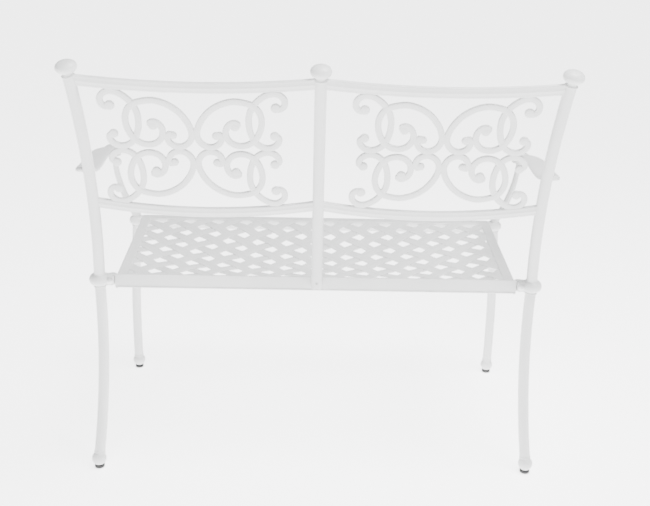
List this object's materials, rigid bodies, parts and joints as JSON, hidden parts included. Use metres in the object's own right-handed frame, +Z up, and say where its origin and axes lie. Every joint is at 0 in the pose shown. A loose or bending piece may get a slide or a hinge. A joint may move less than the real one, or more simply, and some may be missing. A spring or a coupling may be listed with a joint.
{
  "type": "garden bench",
  "caption": "White cast metal garden bench with tube posts topped by ball finials, scrolled back panels under swagged rails, dished woven lattice seat and flat curved arms.",
  "frame": {"origin": "on the floor, at the bottom centre of the bench's box", "axes": "+Z up, +X to the sitter's left, the sitter faces -Y and the back leans towards +Y"},
  "size_m": [1.095, 0.6342, 0.9307],
  "materials": {
    "white_powder_coat": "satin white powder coat over cast and tubular aluminium",
    "black_nylon": "moulded black nylon glides",
    "stainless_steel": "stainless bolts, washers, nuts and screws"
  },
  "bodies": {
    "root": {"seat_panel": "white_powder_coat", "seat_rail_front": "white_powder_coat", "seat_rail_rear": "white_powder_coat", "seat_rail_left": "white_powder_coat", "seat_rail_right": "white_powder_coat", "rear_post_left": "white_powder_coat", "rear_post_right": "white_powder_coat", "centre_post": "white_powder_coat", "rear_leg_left": "white_powder_coat", "rear_leg_right": "white_powder_coat", "front_leg_left": "white_powder_coat", "front_leg_right": "white_powder_coat", "rear_knuckle_left": "white_powder_coat", "rear_knuckle_right": "white_powder_coat", "front_knuckle_left": "white_powder_coat", "front_knuckle_right": "white_powder_coat", "arm_support_left": "white_powder_coat", "arm_support_right": "white_powder_coat", "arm_left": "white_powder_coat", "arm_right": "white_powder_coat", "top_rail_left": "white_powder_coat", "top_rail_right": "white_powder_coat", "bottom_rail_left": "white_powder_coat", "bottom_rail_right": "white_powder_coat", "scroll_panel_left": "white_powder_coat", "scroll_panel_right": "white_powder_coat", "finial_left": "white_powder_coat", "finial_centre": "white_powder_coat", "finial_right": "white_powder_coat", "foot_rear_left": "white_powder_coat", "foot_rear_right": "white_powder_coat", "foot_front_left": "white_powder_coat", "foot_front_right": "white_powder_coat", "glide_rear_left": "black_nylon", "glide_rear_right": "black_nylon", "glide_front_left": "black_nylon", "glide_front_right": "black_nylon", "seat_bolts": "stainless_steel", "seat_washers": "stainless_steel", "seat_nuts": "stainless_steel", "centre_post_screws": "stainless_steel"}
  },
  "joints": []
}
